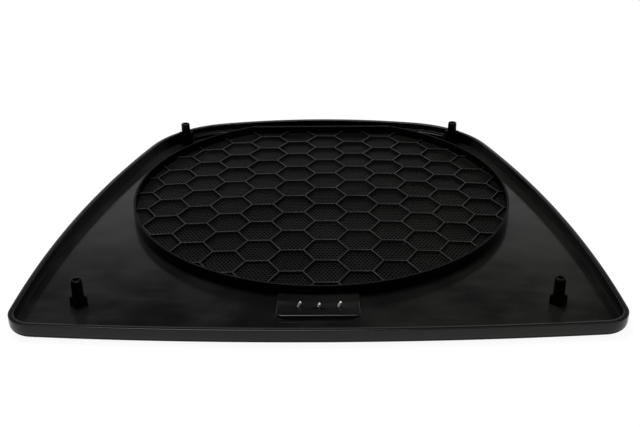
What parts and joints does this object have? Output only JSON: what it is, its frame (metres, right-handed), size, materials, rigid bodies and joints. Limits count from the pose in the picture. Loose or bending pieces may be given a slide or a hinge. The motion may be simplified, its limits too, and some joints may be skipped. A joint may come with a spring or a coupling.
{
  "type": "loudspeaker grille panel",
  "caption": "Black moulded cover panel for a car loudspeaker: shallow D-shaped tray with a round collar, honeycomb ribs over a perforated sheet, clip posts and a small metal trim plate.",
  "frame": {"origin": "in the plane of the front face, under the middle of the panel's outline", "axes": "+X along the near (wide) edge, +Y towards the far (narrow) edge, +Z out of the back, which lies up"},
  "size_m": [0.355, 0.312, 0.0194],
  "materials": {
    "panel_plastic": "satin moulded black, fairly smooth on the back",
    "collar_plastic": "satin moulded black",
    "sheet_black": "matt black with fine round holes",
    "rib_plastic": "satin moulded black",
    "post_plastic": "satin moulded black",
    "bare_metal": "bright bare metal"
  },
  "bodies": {
    "root": {"panel_shell": "panel_plastic", "collar_ring": "collar_plastic", "perforated_sheet": "sheet_black", "honeycomb_grid": "rib_plastic", "clip_post_near_left": "post_plastic", "clip_post_near_right": "post_plastic", "clip_post_far_left": "post_plastic", "clip_post_far_right": "post_plastic", "trim_plate": "bare_metal"}
  },
  "joints": []
}
